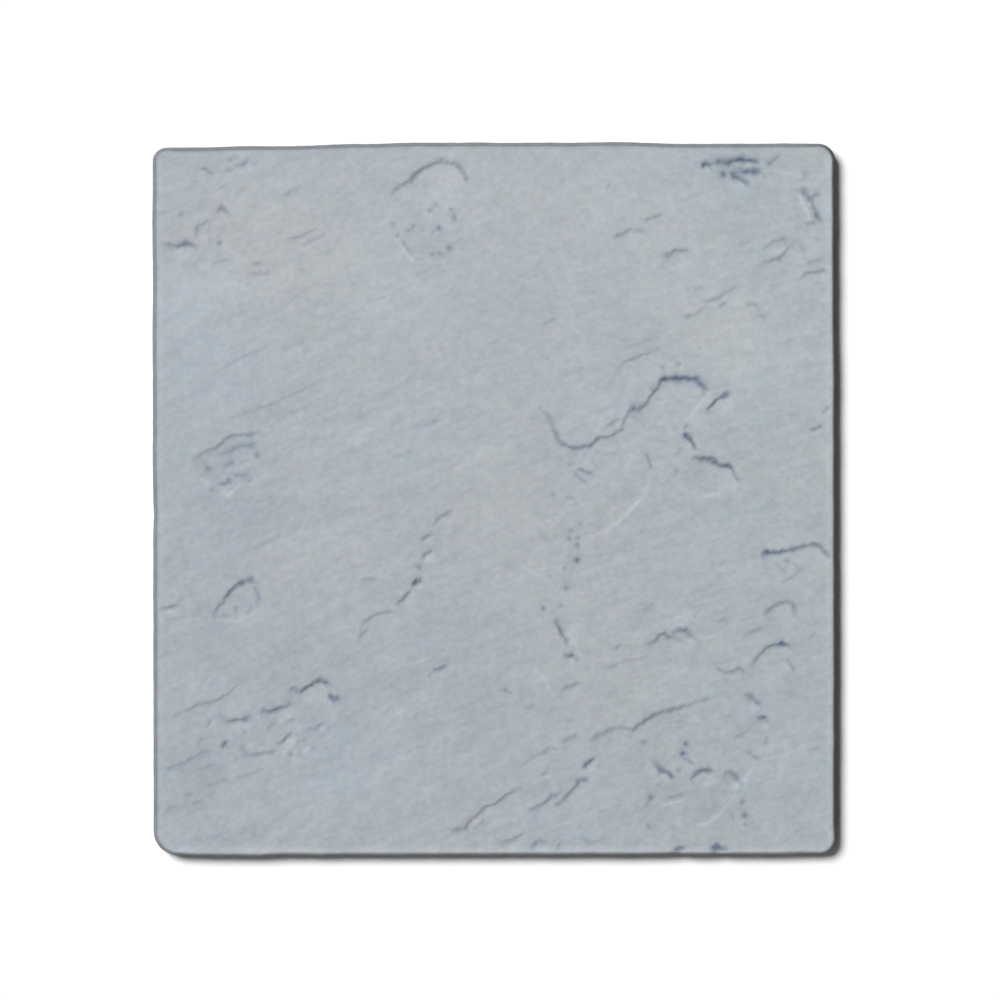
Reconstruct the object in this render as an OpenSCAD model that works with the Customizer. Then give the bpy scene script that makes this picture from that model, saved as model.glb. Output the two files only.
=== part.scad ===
// A riven stone floor tile. The back is sawn flat, the four sides are dressed
// by hand and wander a little, and the face is left as the stone split: long
// shallow waves along the grain, thin flakes lifted off in scallops, and short
// cleavage steps that fade out at both ends.
// X runs along the width, Y along the length and Z up from the sawn back. The
// origin is the middle of the back. All sizes are in millimetres.

/* [Tile] */
// Width of the tile, along X
tile_w = 450; // [300:5:600]
// Length of the tile, along Y
tile_l = 470; // [300:5:620]
// Thickness from the back to the highest ground of the face
tile_t = 12; // [9:0.5:20]

/* [Dressed edge] */
// Radius of the upper left corner
corner_ul = 9; // [4:0.5:25]
// Radius of the upper right corner
corner_ur = 11; // [4:0.5:25]
// Radius of the lower right corner
corner_lr = 10; // [4:0.5:25]
// Radius of the lower left corner
corner_ll = 16; // [4:0.5:25]
// How far the sides wander, against the measured wander
wander = 1; // [0:0.1:1.5]
// Width of the worn top arris
arris_w = 3; // [1:0.1:5]
// Height of the worn top arris
arris_h = 2.4; // [0.8:0.1:4]
// Bevel round the back
back_bevel = 0.8; // [0.4:0.1:2]

/* [Riven face] */
// Height of a full cleavage step
step_h = 1; // [0.4:0.1:1.6]
// Depth of the long waves along the grain
wave_depth = 0.4; // [0.2:0.05:0.8]
// Direction of the grain, in degrees from X
grain = 24; // [10:1:35]
// Radius of a small pit where a crumb came out
pit_r = 1.5; // [0.8:0.1:2.5]
// Depth of a small pit
pit_depth = 0.9; // [0.4:0.1:1.6]

/* [Hidden] */
stone = [0.67, 0.71, 0.73];
side_step = 14;
wave_step = 20;
wave_reach = 320;

// Places on the face are given in thousandths of the width and the length from
// the middle, so that the pattern follows the size of the tile.
function place(p) = [p.x * tile_w / 1000, p.y * tile_l / 1000];
function places(line) = [for (p = line) place(p)];
function unit(v) = v / norm(v);
function mid(a, b) = (a + b) / 2;
function last(list) = list[len(list) - 1];

// How far each side lies inside its straight line: where along the side, in
// thousandths, and how far in, in millimetres.
top_in = [[-500, 4], [-455, 3.7], [-400, 3.3], [-370, 2.7], [-280, 2.6], [-250, 2], [-220, 1.2],
    [-160, 1.2], [-132, 0.4], [50, 0.4], [100, 0.5], [135, 0.2], [190, 0], [220, 0.4],
    [250, 1.1], [310, 1.2], [370, 1], [500, 1]];
right_in = [[-500, 0.4], [-440, 0.3], [-350, 0.2], [-260, 0.1], [-120, 0.2], [0, 0.3],
    [100, 0.4], [160, 0.2], [190, 0.3], [220, 0.6], [300, 0.8], [440, 0.9], [500, 1.1]];
bottom_in = [[-500, 1], [-454, 0.8], [-424, 0.1], [-336, 0], [-307, 0.8], [-250, 0.4], [-220, 0.6],
    [-70, 0.7], [70, 0.8], [262, 1], [269, 1.8], [277, 0.9], [340, 1.2], [368, 0.9],
    [427, 1.2], [460, 1.7], [500, 1.8]];
left_in = [[-500, 1.1], [-457, 0.9], [-300, 0.7], [-100, 0.6], [-64, 0.4], [-36, 0.7], [-26, 1.2],
    [-8, 1.1], [10, 0.3], [150, 0.3], [245, 0.1], [273, 0.3], [300, 0.6], [329, 0.2], [360, 0],
    [385, 0], [413, 0.2], [440, 0.1], [500, 0.3]];

// Small unevenness of a side that was dressed by hand, always inward
function chatter(s) = 0.07 * (2 + sin(s * 7.3) + sin(s * 17 + 40));
function inward(table, s, length) =
    wander * (lookup(s * 1000 / length, table) + chatter(s));

// One side from a to b as a list of [along, inward], near-even in spacing
function side(table, a, b, length) =
    let (n = ceil(abs(b - a) / side_step),
         raw = [for (i = [0 : n]) let (s = a + (b - a) * i / n) [s, inward(table, s, length)]],
         least = min([for (r = raw) r[1]]))
    [for (r = raw) [r[0], r[1] - least]];

hw = tile_w / 2;
hl = tile_l / 2;
right_side = side(right_in, -hl + corner_lr, hl - corner_ur, tile_l);
top_side = side(top_in, hw - corner_ur, -hw + corner_ul, tile_w);
left_side = side(left_in, hl - corner_ul, -hl + corner_ll, tile_l);
bottom_side = side(bottom_in, -hw + corner_ll, hw - corner_lr, tile_w);

// A rounded corner between two sides, without its end points
function corner(sx, sy, in_x, in_y, r, from) =
    let (c = [sx * (hw - in_x - r), sy * (hl - in_y - r)])
    [for (k = [1 : 5]) c + r * [cos(from + 15 * k), sin(from + 15 * k)]];

// The outline, anticlockwise seen from above
outline = concat(
    [for (s = right_side) [hw - s[1], s[0]]],
    corner(1, 1, last(right_side)[1], top_side[0][1], corner_ur, 0),
    [for (s = top_side) [s[0], hl - s[1]]],
    corner(-1, 1, left_side[0][1], last(top_side)[1], corner_ul, 90),
    [for (s = left_side) [-hw + s[1], s[0]]],
    corner(-1, -1, last(left_side)[1], bottom_side[0][1], corner_ll, 180),
    [for (s = bottom_side) [s[0], -hl + s[1]]],
    corner(1, -1, right_side[0][1], last(bottom_side)[1], corner_lr, 270));

// The same outline drawn in by d and laid at height z
function drawn_in(d, z) = [for (p = outline) [p.x * (1 - d / hw), p.y * (1 - d / hl), z]];

// The slab before its face is split: bevelled back, upright side, worn arris
module blank() {
    rings = [
        drawn_in(back_bevel, 0),
        drawn_in(0, back_bevel),
        drawn_in(0, tile_t - arris_h),
        drawn_in(arris_w * 0.1, tile_t - arris_h * 0.6),
        drawn_in(arris_w * 0.4, tile_t - arris_h * 0.25),
        drawn_in(arris_w, tile_t)];
    n = len(outline);
    top = len(rings) - 1;
    points = concat([for (r = rings) each r], [[0, 0, 0], [0, 0, tile_t]]);
    walls = [for (k = [0 : top - 1]) for (i = [0 : n - 1])
        let (a = k * n + i, b = k * n + (i + 1) % n)
        each [[a, a + n, b + n], [a, b + n, b]]];
    back = [for (i = [0 : n - 1]) [(top + 1) * n, i, (i + 1) % n]];
    face = [for (i = [0 : n - 1]) [(top + 1) * n + 1, top * n + (i + 1) % n, top * n + i]];
    polyhedron(points, concat(walls, back, face));
}

// A wide shallow bowl: middle, radius where it meets the face, and depth
module bowl(c, r, d) {
    big = (r * r + d * d) / (2 * d);
    translate([c.x, c.y, tile_t - d + big]) rotate([90, 0, 0])
        sphere(r = big, $fn = big < 120 ? 90 : big < 400 ? 180 : 360);
}

// What comes off one side of a ledge: the ground beyond the line sinks into a
// bowl. The bowl is deepest near the line's middle and dies out at its ends.
// lean puts the bowl's middle that far beyond the line's chord, spread is how
// much wider it is than the chord, and fall is the side that is lower.
module ledge(line, depth, fall = -90, lean = 0, spread = 1.05) {
    pts = places(line);
    a = pts[0];
    b = last(pts);
    along = unit(b - a);
    down = [along.x * cos(fall) - along.y * sin(fall), along.x * sin(fall) + along.y * cos(fall)];
    c = mid(a, b) + lean * down;
    r = spread * norm(a - c);
    reach = 2 * r + 12;
    intersection() {
        bowl(c, r, depth * step_h);
        translate([0, 0, tile_t - 5])
            linear_extrude(height = 7)
                polygon(concat([a - reach * along], pts, [b + reach * along],
                    [b + reach * (along + down), a + reach * (down - along)]));
    }
}

// What comes off the top to leave long low waves along the grain. They are laid
// in flat strips, each a fraction of a degree from the next.
module waves() {
    n = 2 * wave_reach / wave_step;
    raw = [for (i = [0 : n]) let (v = i * wave_step - wave_reach)
        [v, wave_depth * (0.5 + 0.33 * sin(v * 2.1) + 0.17 * sin(v * 3.8 + 70))]];
    least = min([for (r = raw) r[1]]);
    rotate([0, 0, grain]) translate([-wave_reach, 0, 0]) rotate([90, 0, 90])
        linear_extrude(height = 2 * wave_reach)
            polygon(concat([for (r = raw) [r[0], tile_t - r[1] + least]],
                [[wave_reach, tile_t + 3], [-wave_reach, tile_t + 3]]));
}

// A crumb that came out
module pit(p, size = 1) {
    c = place(p);
    translate([c.x, c.y, tile_t - pit_depth * size + 1.6 * pit_r * size])
        rotate([90, 0, 0]) sphere(r = 1.6 * pit_r * size, $fn = 48);
}

module tile() {
    color(stone)
    difference() {
        blank();

        waves();

        // Scallops, where a thin flake came off
        ledge([[-149, 431], [-135, 439], [-120, 448], [-113, 458], [-98, 466], [-81, 474],
            [-72, 476], [-65, 467], [-58, 473], [-50, 466], [-44, 455], [-39, 445]], 1.2,
            lean = -10);
        ledge([[-441, 51], [-424, 64], [-409, 70], [-398, 82], [-383, 89], [-371, 89], [-357, 90],
            [-345, 93]], 0.9, lean = 8);
        ledge([[-411, 69], [-390, 66], [-380, 75], [-365, 76], [-349, 76]], 1.2, spread = 1.2);
        ledge([[-412, -163], [-402, -150], [-395, -142], [-390, -134], [-386, -125], [-376, -118],
            [-363, -114], [-351, -111]], 1.2, lean = 4);

        // The long ledge right of the middle
        ledge([[67, 129], [75, 122], [83, 110], [88, 96], [94, 84], [103, 75], [113, 70], [122, 68],
            [131, 73], [141, 76], [154, 87], [172, 90], [185, 97], [189, 111], [198, 124],
            [212, 128]], 0.9, lean = 26, spread = 0.95);
        ledge([[198, 124], [208, 126], [218, 132], [230, 145], [236, 153], [243, 166], [249, 171],
            [261, 170], [277, 170], [296, 168], [303, 161], [309, 152]], 1.8, lean = -5,
            spread = 1.15);
        ledge([[310, 125], [320, 133], [338, 146]], 1.2);
        ledge([[278, 90], [284, 84], [294, 70]], 1.1, fall = 90);
        ledge([[294, 58], [310, 58], [325, 50], [335, 45], [344, 51], [350, 48], [354, 36],
            [361, 27]], 1.1);
        ledge([[226, 24], [220, 6], [201, -13], [176, -37], [158, -48]], 0.5);
        ledge([[264, 24], [280, 10], [310, 3], [337, 12], [353, 23]], 0.4, fall = 90);

        // Upper right
        ledge([[303, 467], [310, 471], [316, 466]], 1.4);
        ledge([[320, 469], [329, 474], [339, 470], [348, 473], [361, 476], [373, 473], [388, 470]],
            1.5, spread = 1.2);
        ledge([[347, 456], [353, 455], [360, 449], [370, 441]], 2);
        ledge([[354, 459], [366, 460], [373, 458], [391, 459]], 1.7);
        ledge([[449, 432], [456, 424], [462, 416], [468, 403], [475, 388]], 1, fall = 90);
        ledge([[380, 321], [395, 335], [410, 333], [426, 343], [430, 356], [446, 361], [455, 339]],
            0.6);
        ledge([[442, 308], [461, 318], [484, 319]], 0.7);
        ledge([[250, 340], [266, 349], [280, 349], [288, 340]], 0.8);
        ledge([[176, 367], [192, 375], [202, 378], [217, 374]], 0.5);

        // Lower right
        ledge([[391, -79], [396, -73], [417, -72], [434, -68], [453, -64], [468, -62], [475, -65],
            [482, -72], [488, -78]], 0.5);
        ledge([[398, -156], [410, -149], [424, -143], [431, -142], [437, -146], [440, -164]], 0.7);
        ledge([[376, -230], [383, -223], [393, -213], [405, -203], [417, -199], [427, -201],
            [433, -203]], 1.2, spread = 1.15);
        ledge([[221, -203], [233, -198], [242, -189], [249, -187], [253, -192], [262, -192],
            [275, -198]], 0.8);
        ledge([[259, -187], [271, -181], [280, -182], [285, -189], [297, -196]], 0.8);
        ledge([[142, -335], [154, -329], [169, -324], [180, -321], [194, -321], [204, -322],
            [212, -315], [227, -304], [242, -297], [259, -294], [278, -289], [296, -282]], 0.9,
            lean = 8, spread = 1);
        ledge([[369, -273], [376, -277], [383, -282], [389, -289]], 1);
        ledge([[386, -301], [395, -304], [404, -312]], 1.2);
        ledge([[231, -361], [234, -371], [243, -379], [252, -384], [261, -389]], 1.2, fall = 90);
        ledge([[283, -393], [291, -385], [299, -379], [309, -378], [322, -382]], 1.5);
        ledge([[335, -382], [344, -379], [351, -384], [356, -389]], 1.2);
        ledge([[262, -491], [269, -488], [280, -486]], 1.6);
        ledge([[318, -487], [325, -484], [332, -487], [339, -491]], 1.8);

        // Lower middle, and the two broken lines of short steps across the middle
        ledge([[-62, -463], [-47, -462], [-41, -456], [-28, -445], [-21, -439], [-4, -428],
            [8, -423], [15, -416], [30, -407], [40, -406]], 1.1);
        ledge([[52, -434], [69, -426], [84, -414], [97, -410]], 0.8);
        ledge([[90, -428], [104, -416], [116, -406], [121, -398], [126, -392], [135, -389]], 1);
        ledge([[128, -375], [140, -365], [148, -360]], 1.3);
        ledge([[-1, -473], [8, -479], [18, -479], [32, -474], [43, -469]], 0.7, spread = 1.2);
        ledge([[53, -487], [62, -480], [75, -477]], 0.8);
        ledge([[-62, -15], [-71, -19], [-79, -25], [-85, -29], [-88, -37], [-93, -45]], 0.7,
            fall = 90);
        ledge([[-90, -47], [-98, -52], [-109, -57]], 0.9, fall = 90);
        ledge([[-91, -71], [-100, -75], [-107, -85]], 0.9, fall = 90);
        ledge([[-106, -113], [-113, -114], [-122, -120]], 1.5, fall = 90);
        ledge([[-119, -124], [-130, -136], [-145, -149]], 1, fall = 90);
        ledge([[-145, -154], [-160, -159], [-174, -160], [-189, -168], [-199, -180]], 0.7,
            fall = 90);
        ledge([[86, -164], [94, -177], [100, -188], [107, -202]], 1.2, fall = 90);
        ledge([[103, -215], [113, -219], [122, -224]], 1.2);
        ledge([[96, -268], [104, -262], [113, -261], [125, -255]], 0.7);

        // Left
        ledge([[-295, -265], [-284, -268], [-276, -262], [-268, -258], [-255, -251], [-247, -251],
            [-241, -261]], 1.3);
        ledge([[-241, -272], [-234, -279], [-227, -276]], 1.2);
        ledge([[-342, -300], [-335, -294], [-320, -294], [-307, -293], [-301, -286], [-292, -282]],
            1.1);
        ledge([[-403, -301], [-390, -308], [-379, -308], [-367, -307], [-355, -304]], 1.1);
        ledge([[-469, -303], [-456, -297], [-443, -294], [-434, -287], [-421, -284], [-408, -283],
            [-390, -273], [-379, -263], [-363, -252]], 0.6);
        ledge([[-370, -343], [-364, -350], [-358, -358], [-346, -356], [-332, -353], [-316, -351]],
            0.7);
        ledge([[-317, -342], [-309, -339], [-304, -333], [-295, -326]], 1.2);
        ledge([[-422, -319], [-417, -311], [-409, -304]], 0.8);
        ledge([[-487, -152], [-473, -150], [-460, -149]], 0.7);
        ledge([[-488, 363], [-475, 357], [-463, 357], [-450, 361], [-437, 357]], 0.6);
        ledge([[-437, 367], [-434, 382], [-424, 388], [-414, 395]], 0.6);
        ledge([[-403, 407], [-398, 411], [-389, 399]], 0.7);
        ledge([[-379, 466], [-367, 470], [-357, 474], [-349, 469]], 0.7);

        // Crumbs
        for (p = [[111, -56], [122, -67], [121, -85], [107, -124], [72, -151], [96, -147],
            [280, -342], [272, -356], [220, -339], [229, -419], [364, -423], [366, -441],
            [-393, -342], [-110, -95], [280, 101], [-417, 43], [-381, 50], [-387, 24], [404, 469],
            [332, 453], [-87, 411], [-81, 379], [-63, 350], [12, -263], [464, 385]])
            pit(p);
    }
}

tile();
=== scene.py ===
# %% [markdown]
# # A riven stone floor tile
# The real tile is one slab of fine-grained stone, split along its cleavage and dressed
# by hand. The construction model already has its outline, thickness, flakes and steps.
# This lesson dresses it: a fine mesh for the split face, rough sides, a sawn back and
# one stone material. Everything is in metres, in the construction model's own frame.

# %% Load the construction model
import bmesh
import bpy
import math
import numpy as np
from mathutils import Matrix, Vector
from mathutils.bvhtree import BVHTree


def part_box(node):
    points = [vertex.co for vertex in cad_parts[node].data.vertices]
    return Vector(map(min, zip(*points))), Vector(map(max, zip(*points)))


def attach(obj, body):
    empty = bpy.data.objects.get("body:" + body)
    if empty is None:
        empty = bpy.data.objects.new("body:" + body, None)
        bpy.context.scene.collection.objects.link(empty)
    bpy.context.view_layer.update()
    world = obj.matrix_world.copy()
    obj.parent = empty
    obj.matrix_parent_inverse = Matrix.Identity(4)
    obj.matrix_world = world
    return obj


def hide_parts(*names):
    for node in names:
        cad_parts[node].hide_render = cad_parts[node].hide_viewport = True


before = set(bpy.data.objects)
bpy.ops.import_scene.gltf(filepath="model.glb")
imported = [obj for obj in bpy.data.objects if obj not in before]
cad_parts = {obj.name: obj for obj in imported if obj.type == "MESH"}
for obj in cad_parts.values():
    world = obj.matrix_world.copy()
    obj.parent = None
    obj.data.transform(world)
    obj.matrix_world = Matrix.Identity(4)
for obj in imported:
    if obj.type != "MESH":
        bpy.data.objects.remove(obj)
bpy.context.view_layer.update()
low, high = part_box("tile")
print("tile measures", [round(v * 1000, 1) for v in high - low], "mm")

# %% [markdown]
# The relief is worked out in millimetres, because the steps of the face are about one
# millimetre high and small round numbers are easier to check. Blender's own unit is the
# metre, so one value turns the first into the second.

# %% Sizes the rest is tied to
MM = 0.001
half_w = high.x / MM
half_l = high.y / MM
thick = high.z / MM
grain = math.radians(20)
# places on the face are written in thousandths of the width and the length
per_mille = np.array([2 * half_w / 1000, 2 * half_l / 1000])
print("half width", round(half_w, 1), "half length", round(half_l, 1), "thickness", round(thick, 2))

# %% [markdown]
# The tile lies flat and is looked at from straight above. A long lens far away keeps
# its sides out of sight, as they are on the real tile in that view. The lens follows
# from the width of floor that the picture takes in.

# %% Camera
seen_width = 0.6567
camera_height = 3.0
sensor_width = 36
aim = (0.0037, -0.0004)  # the tile lies a few millimetres off the middle of the picture
camera_data = bpy.data.cameras.new("overhead")
camera_data.sensor_width = sensor_width
camera_data.lens = sensor_width * camera_height / seen_width
camera_data.clip_end = 50
camera = bpy.data.objects.new("overhead", camera_data)
bpy.context.scene.collection.objects.link(camera)
camera.location = (*aim, high.z + camera_height)
bpy.context.scene.camera = camera
print("lens", round(camera_data.lens, 1), "mm")

# %% [markdown]
# The floor is one plain white sheet. It has to look white and still take the tile's
# soft shadow, so its material is an ordinary diffuse one. The camera sees it a little
# whiter than the tile does, which lifts the lit floor to full white and keeps the shadow.

# %% Floor
floor_reach = 9  # metres to each side
floor_mesh = bmesh.new()
bmesh.ops.create_grid(floor_mesh, x_segments=4, y_segments=4, size=floor_reach)
floor_data = bpy.data.meshes.new("floor")
floor_mesh.to_mesh(floor_data)
floor_mesh.free()
floor = bpy.data.objects.new("floor", floor_data)
bpy.context.scene.collection.objects.link(floor)
print("floor has", len(floor_data.polygons), "faces")

# %% [markdown]
# Shader maths reads best as ordinary sums. A small class wraps a socket, so that
# `a + b` or `mask * 0.5` adds the Math nodes by itself. Any other node comes from one
# method, which takes its sockets by name or number and its settings by name.


# %% A short way to write shader nodes
class Value:
    """Something that varies over a surface. Sums of it add Math nodes."""

    def __init__(self, recipe, socket):
        self.recipe, self.socket = recipe, socket

    def sum(self, operation, first, second):
        return self.recipe.node("Math", {0: first, 1: second}, operation=operation)

    def __add__(self, other):
        return self.sum("ADD", self, other)

    def __sub__(self, other):
        return self.sum("SUBTRACT", self, other)

    def __mul__(self, other):
        return self.sum("MULTIPLY", self, other)

    __radd__ = __add__
    __rmul__ = __mul__


class Recipe:
    """The nodes of one material, or of the room."""

    def __init__(self, owner, ending):
        owner.use_nodes = True
        self.tree = owner.node_tree
        self.tree.nodes.clear()
        self.ending = ending

    def node(self, kind, sockets=None, output=0, **settings):
        made = self.tree.nodes.new("ShaderNode" + kind)
        for name, setting in settings.items():
            setattr(made, name, setting)
        for name, content in (sockets or {}).items():
            if isinstance(content, Value):
                self.tree.links.new(content.socket, made.inputs[name])
            else:
                made.inputs[name].default_value = content
        return Value(self, made.outputs[output] if len(made.outputs) else None)

    def mix(self, factor, first, second, kind="MIX"):
        """Two colours mixed."""
        return self.node("Mix", {0: factor, 6: first, 7: second}, 2, data_type="RGBA",
                         blend_type=kind)

    def finish(self, surface):
        self.node(self.ending, {"Surface": surface})


def colour(red, green, blue):
    """A colour as a screen shows it, 0 to 255, in the linear values that shading needs."""
    parts = [c / 255 for c in (red, green, blue)]
    return tuple(p / 12.92 if p <= 0.04045 else ((p + 0.055) / 1.055) ** 2.4 for p in parts) + (1,)


print("a mid grey of 128 is", round(colour(128, 128, 128)[0], 3), "linear")

# %% Floor material
floor_material = bpy.data.materials.new("plain_floor")
paper = Recipe(floor_material, "OutputMaterial")
seen = paper.node("LightPath", output="Is Camera Ray")
plain, lifted = (0.8, 0.8, 0.8, 1), (1.04, 1.04, 1.04, 1)
whiteness = paper.mix(seen, plain, lifted)
paper.finish(paper.node("BsdfDiffuse", {"Color": whiteness}))
floor_data.materials.append(floor_material)
print("floor material has", len(paper.tree.nodes), "nodes")

# %% [markdown]
# One broad soft lamp stands high at the upper left, where the short shadow on the right
# and below says that it was. The pale room fills in the rest, more from the left and
# from below than from the right, where the shadow is darkest. The two together light a
# level surface at a plain level, at which a colour renders about as written.

# %% Levels and directions of the light
fill_level = 0.12
fill_lean = (-0.95, -0.3, 0)  # towards where the room is brighter
key_elevation = math.radians(52)
key_turn = math.radians(139)
key_softness = math.radians(28)
print("fill", fill_level, "of the light, key", round(1 - fill_level, 2))

# %% The pale room
world = bpy.data.worlds.new("white_room")
bpy.context.scene.world = world
room = Recipe(world, "OutputWorld")
way = room.node("TexCoord", output="Generated")
lean = room.node("VectorMath", {0: way, 1: fill_lean}, "Value", operation="DOT_PRODUCT")
level = room.node("Math", {0: lean, 1: fill_level, 2: fill_level}, operation="MULTIPLY_ADD")
seen = room.node("LightPath", output="Is Camera Ray")
strength = room.node("Mix", {0: seen, 2: level, 3: 1.0})
room.finish(room.node("Background", {"Color": (1, 1, 1, 1), "Strength": strength}))
print("room has", len(room.tree.nodes), "nodes")

# %% The lamp
key_data = bpy.data.lights.new("key", "SUN")
key_data.angle = key_softness
key_data.energy = math.pi * (1 - fill_level) / math.sin(key_elevation)
key = bpy.data.objects.new("key", key_data)
bpy.context.scene.collection.objects.link(key)
key_from = Vector((math.cos(key_turn) * math.cos(key_elevation),
                   math.sin(key_turn) * math.cos(key_elevation), math.sin(key_elevation)))
key.rotation_mode = "QUATERNION"
key.rotation_quaternion = key_from.to_track_quat("Z", "Y")
print("key comes from", [round(v, 2) for v in key_from], "at", round(key_data.energy, 2))

# %% [markdown]
# The outline isn't drawn again here. A ray sent level from inside the construction
# model finds where its dressed side is, so the fine mesh has the same hand-made
# wander and the same rounded corners.

# %% Find the dressed sides
slab = BVHTree.FromObject(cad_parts["tile"], bpy.context.evaluated_depsgraph_get())
strip = 25.0
inner = np.array([half_w - strip, half_l - strip])


def side_at(x, y, dx, dy):
    """How far the dressed side is from a point on the face in a level direction, in mm."""
    start = Vector((x, y, thick / 2)) * MM
    hit = slab.ray_cast(start, Vector((dx, dy, 0)))
    return hit[3] / MM


print("the top side lies", round(side_at(0, half_l - strip, 0, 1), 2), "mm beyond the strip")

# %% [markdown]
# Stone is never even, so most of what follows is disturbed by smooth noise. This one is
# a lattice of random numbers with soft steps between them. It is seeded, so the tile
# comes out the same every time.


# %% Smooth noise over the face
lattice_points = 512
lattice_middle = 200  # where on the lattice the middle of the tile lies


def unevenness(x, y, size, seed):
    """Smooth noise from -1 to 1 with features of about size mm."""
    lattice = np.random.default_rng(seed).uniform(-1, 1, (lattice_points, lattice_points))
    u, v = x / size + lattice_middle, y / size + lattice_middle
    i, j = np.floor(u).astype(int), np.floor(v).astype(int)
    a, b = u - i, v - j
    a, b = a * a * (3 - 2 * a), b * b * (3 - 2 * b)
    i, j = i % (lattice_points - 1), j % (lattice_points - 1)
    near = lattice[i, j] * (1 - a) + lattice[i + 1, j] * a
    far = lattice[i, j + 1] * (1 - a) + lattice[i + 1, j + 1] * a
    return near * (1 - b) + far * b


bend = 0.25


def along_grain(x, y):
    """Coordinates along and across the grain, which lies flatter towards the upper right."""
    y = y + bend * MM * (x * x + x * y)
    return (x * math.cos(grain) + y * math.sin(grain),
            y * math.cos(grain) - x * math.sin(grain))


print("noise sample", np.round(unevenness(np.array([0.0, 5.0]), np.array([0.0, 5.0]), 10, 1), 3))

# %% [markdown]
# A cleavage step is where one thin leaf of stone ends and the next one begins. Each is
# given as a line of points, in thousandths of the width and length from the middle.
# The ground beyond the line sinks into a shallow bowl, deepest near the middle of the
# line and gone at its ends, as in the construction model. `depth` is in mm. The ink is
# how dark the foot of the step is painted, for the dirt in it and for the shade that
# falls below the step, as one number or as several in turn from its start to its end,
# and `bold` is how wide, in mm. `fall` is the lower side: -90 is on the right of the
# line and 90 on its left. `lean` puts the middle of the bowl that far beyond the line's
# chord, and `spread` is how much wider it is than the chord.


# %% How a step is described
def step(line, depth, dirt_and_shade_ink, fall=-90, lean=0, spread=1.05, bold=1.9):
    return {"points": np.array(line, float) * per_mille, "depth": depth,
            "dirt_and_shade_ink": np.atleast_1d(dirt_and_shade_ink), "fall": fall, "lean": lean, "spread": spread, "bold": bold}


# %% Steps right of the middle
middle_right = [
    step([(67, 129), (75, 122), (83, 110), (88, 96), (93, 86), (100, 78), (109, 74), (119, 72),
          (129, 74), (140, 76), (153, 86), (172, 90), (185, 97), (189, 111), (198, 124),
          (212, 128)], 0.9, [0.25, 0.4, 0.65, 0.75, 0.35, 0.4, 0.35, 0.05, 0.7, 0.8], lean=26,
         spread=0.95),
    step([(198, 124), (208, 126), (218, 132), (230, 145), (236, 153), (243, 166), (250, 170),
          (261, 170), (277, 170), (296, 168), (303, 161), (309, 152)], 1.2,
         [0.5, 0.45, 0.1, 0.0, 0.0, 1.1, 0.9, 0.8, 0.9, 0.9, 0.9], lean=-5, spread=1.15, bold=2.5),
    step([(309, 125), (323, 138), (340, 148)], 1.2, [0.35, 0.5, 0.5, 0.8]),
    step([(277, 91), (285, 83), (294, 70)], 1.1, [1.0, 0.9, 0.6], fall=90),
    step([(291, 59), (304, 58), (316, 58), (329, 48), (341, 48), (348, 44), (353, 31), (360, 27)],
         1.1, [0.9, 0.8, 0.8, 0.95, 1.0, 0.8, 0.5]),
    step([(226, 24), (220, 6), (201, -13), (176, -37), (158, -48)], 0.5, 0.0),
    step([(264, 24), (280, 10), (310, 3), (337, 12), (353, 23)], 0.4, 0.0, fall=90),
    step([(163, 103), (172, 107), (183, 111)], 0.5, 0.0),
    step([(176, 178), (189, 193), (208, 199), (230, 206), (245, 213)], 0.6, 0.0),
]
print(len(middle_right), "steps right of the middle")

# %% Steps at the upper right
upper_right = [
    step([(302, 467), (309, 470), (316, 467)], 1.4, [0.6, 0.85, 0.85], bold=2.2),
    step([(320, 471), (329, 473), (338, 470), (348, 473), (361, 477), (370, 475), (386, 472)], 1.5,
         [0.5, 0.65, 0.6, 0.65, 1.2, 1.3, 1.2, 0.9], spread=1.2, bold=2.6),
    step([(345, 458), (353, 453), (360, 449), (370, 442)], 2, [0.9, 0.9, 0.9, 0.8], bold=2.2),
    step([(347, 462), (358, 460), (373, 459), (388, 459)], 1.7, [0.5, 0.7, 0.9, 0.9, 0.9],
         bold=3.0),
    step([(449, 432), (456, 424), (462, 416), (468, 403), (475, 388)], 1,
         [0.6, 0.6, 0.05, 0.65, 0.6], fall=90, bold=2.2),
    step([(380, 321), (391, 330), (402, 335), (414, 336), (423, 343), (427, 353), (436, 358),
          (446, 361), (450, 351), (455, 339)], 0.6,
         [0.1, 0.12, 0.15, 0.35, 0.25, 0.15, 0.2, 0.25, 0.2]),
    step([(442, 308), (452, 315), (464, 318), (484, 321)], 0.7, [0.1, 0.18, 0.12, 0.12]),
    step([(250, 340), (266, 349), (280, 349), (288, 340)], 0.8, [0.4, 0.3, 0.3, 0.15], bold=2.2),
    step([(176, 367), (192, 375), (202, 378), (217, 374)], 0.5, [0.45, 0.3, 0.2, 0.3]),
]
print(len(upper_right), "steps at the upper right")

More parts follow.
